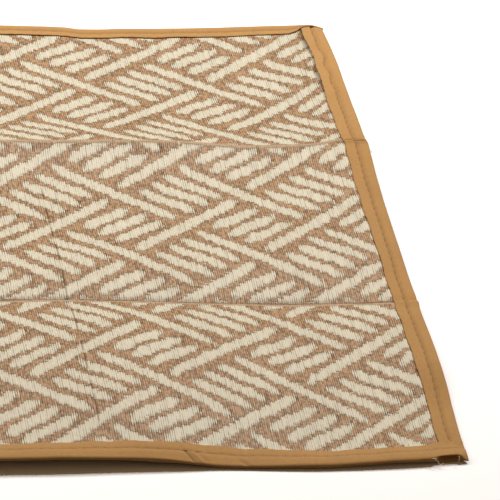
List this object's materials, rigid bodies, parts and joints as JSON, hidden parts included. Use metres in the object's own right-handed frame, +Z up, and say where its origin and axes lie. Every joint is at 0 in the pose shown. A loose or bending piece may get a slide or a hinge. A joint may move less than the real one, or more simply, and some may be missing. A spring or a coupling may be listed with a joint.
{
  "type": "picnic mat",
  "caption": "Long woven straw picnic mat with a lattice of cream and tan bars, folded into panels and bound all round with cotton tape.",
  "frame": {"origin": "centre of the mat's box, on the surface that it lies on", "axes": "+X along the mat's length, +Y along the straws from the front edge to the back edge, +Z up"},
  "size_m": [1.8, 0.6036, 0.0201],
  "materials": {
    "straw": "flat polypropylene straws in cream and tan, woven close, with a soft sheen along each straw",
    "cotton_tape": "matte golden tan cotton binding tape with a fine weave and a sewn line"
  },
  "bodies": {
    "root": {"weave": "straw", "tape_front": "cotton_tape", "tape_back": "cotton_tape", "tape_right": "cotton_tape", "tape_left": "cotton_tape"}
  },
  "joints": []
}
